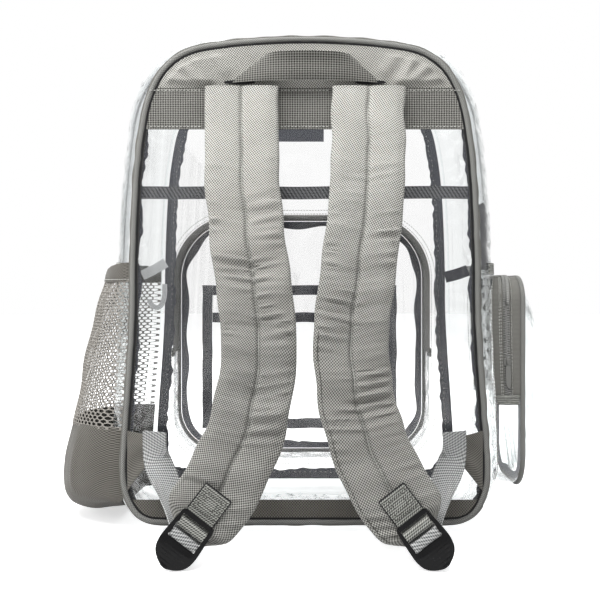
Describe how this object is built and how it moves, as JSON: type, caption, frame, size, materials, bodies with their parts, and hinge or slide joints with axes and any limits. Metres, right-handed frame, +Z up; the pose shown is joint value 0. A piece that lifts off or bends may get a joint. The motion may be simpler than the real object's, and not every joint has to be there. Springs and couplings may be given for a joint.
{
  "type": "clear stadium backpack",
  "caption": "Clear vinyl backpack with grey cloth trim, padded shoulder straps, haul handle, zipped front and side pockets and a net side pocket.",
  "frame": {"origin": "middle of the flat patch under the bag that it stands on", "axes": "+Z up, -Y towards the wearer's back (the side with the straps), +X towards the zipped side pocket"},
  "size_m": [0.477, 0.3069, 0.473],
  "materials": {
    "clear_vinyl": "clear glossy sheet",
    "grey_twill": "coarse polyester twill",
    "dark_binding": "woven binding tape",
    "grey_webbing": "ribbed woven webbing",
    "grey_net": "knitted hexagonal net",
    "black_plastic": "moulded acetal"
  },
  "bodies": {
    "root": {"back_panel": "clear_vinyl", "front_panel": "clear_vinyl", "gusset_lower": "clear_vinyl", "gusset_upper_back": "clear_vinyl", "gusset_upper_front": "clear_vinyl", "sleeve_sheet": "clear_vinyl", "front_pocket_face": "clear_vinyl", "front_pocket_gusset": "clear_vinyl", "organiser_sheet": "clear_vinyl", "side_pocket_face": "clear_vinyl", "side_pocket_gusset": "clear_vinyl", "back_yoke": "grey_twill", "back_base_strip": "grey_twill", "back_piping": "grey_twill", "front_piping": "grey_twill", "strap_left": "grey_twill", "strap_right": "grey_twill", "wing_left": "grey_twill", "wing_right": "grey_twill", "front_pocket_piping": "grey_twill", "front_pocket_zip": "grey_twill", "side_pocket_piping": "grey_twill", "side_pocket_zip": "grey_twill", "mesh_pocket_base": "grey_twill", "mesh_pocket_hem": "grey_twill", "back_seam_binding": "dark_binding", "front_seam_binding": "dark_binding", "sleeve_binding": "dark_binding", "organiser_binding": "dark_binding", "inner_label_patch": "dark_binding", "main_zip": "dark_binding", "webbing_band": "grey_webbing", "haul_handle": "grey_webbing", "gusset_tab_left": "grey_webbing", "gusset_tab_right": "grey_webbing", "strap_tab_left": "grey_webbing", "strap_tab_right": "grey_webbing", "adjuster_webbing_left": "grey_webbing", "adjuster_webbing_right": "grey_webbing", "front_pocket_tab_left": "grey_webbing", "front_pocket_tab_right": "grey_webbing", "side_pocket_tab_back": "grey_webbing", "side_pocket_tab_front": "grey_webbing", "mesh_net": "grey_net", "ladder_lock_left": "black_plastic", "ladder_lock_right": "black_plastic", "main_zip_slider": "black_plastic", "front_pocket_slider": "black_plastic", "side_pocket_slider": "black_plastic"}
  },
  "joints": []
}
